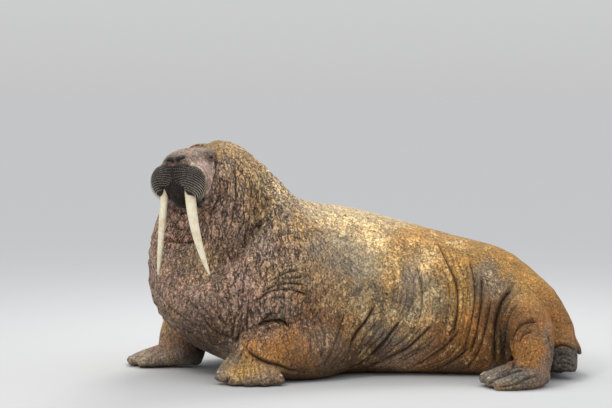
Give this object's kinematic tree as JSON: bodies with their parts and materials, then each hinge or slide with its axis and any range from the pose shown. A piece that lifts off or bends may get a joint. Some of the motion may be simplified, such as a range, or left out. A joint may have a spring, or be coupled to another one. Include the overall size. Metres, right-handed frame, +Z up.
{
  "type": "walrus",
  "caption": "Adult male walrus, still life-size model, hauled out on its belly and propped on its foreflippers, head up and turned, with two long tusks.",
  "frame": {"origin": "middle of the footprint box, on the floor that the belly and flippers rest on", "axes": "+Z up, +X towards the tail end; the camera side is -Y, and the head turns towards -X and -Y"},
  "size_m": [2.5786, 1.4284, 1.305],
  "materials": {
    "face_skin": "grey-taupe skin, dark slate whisker pads",
    "neck_skin": "thick warty skin, pinkish brown",
    "body_hide": "short golden brown fur over grey hide",
    "flipper_skin": "rusty tan skin, grey digits",
    "whisker": "pale stiff bristle",
    "claw": "dull horn",
    "eye": "wet dark brown",
    "tusk_ivory": "worn cream ivory"
  },
  "bodies": {
    "root": {"head": "face_skin", "neck": "neck_skin", "chest": "neck_skin", "torso": "body_hide", "hips": "body_hide", "tail": "body_hide", "foreflipper_left": "flipper_skin", "foreflipper_right": "flipper_skin", "hindflipper_left": "flipper_skin", "hindflipper_right": "flipper_skin", "eye_left": "eye", "eye_right": "eye", "tusk_left": "tusk_ivory", "tusk_right": "tusk_ivory"}
  },
  "joints": []
}
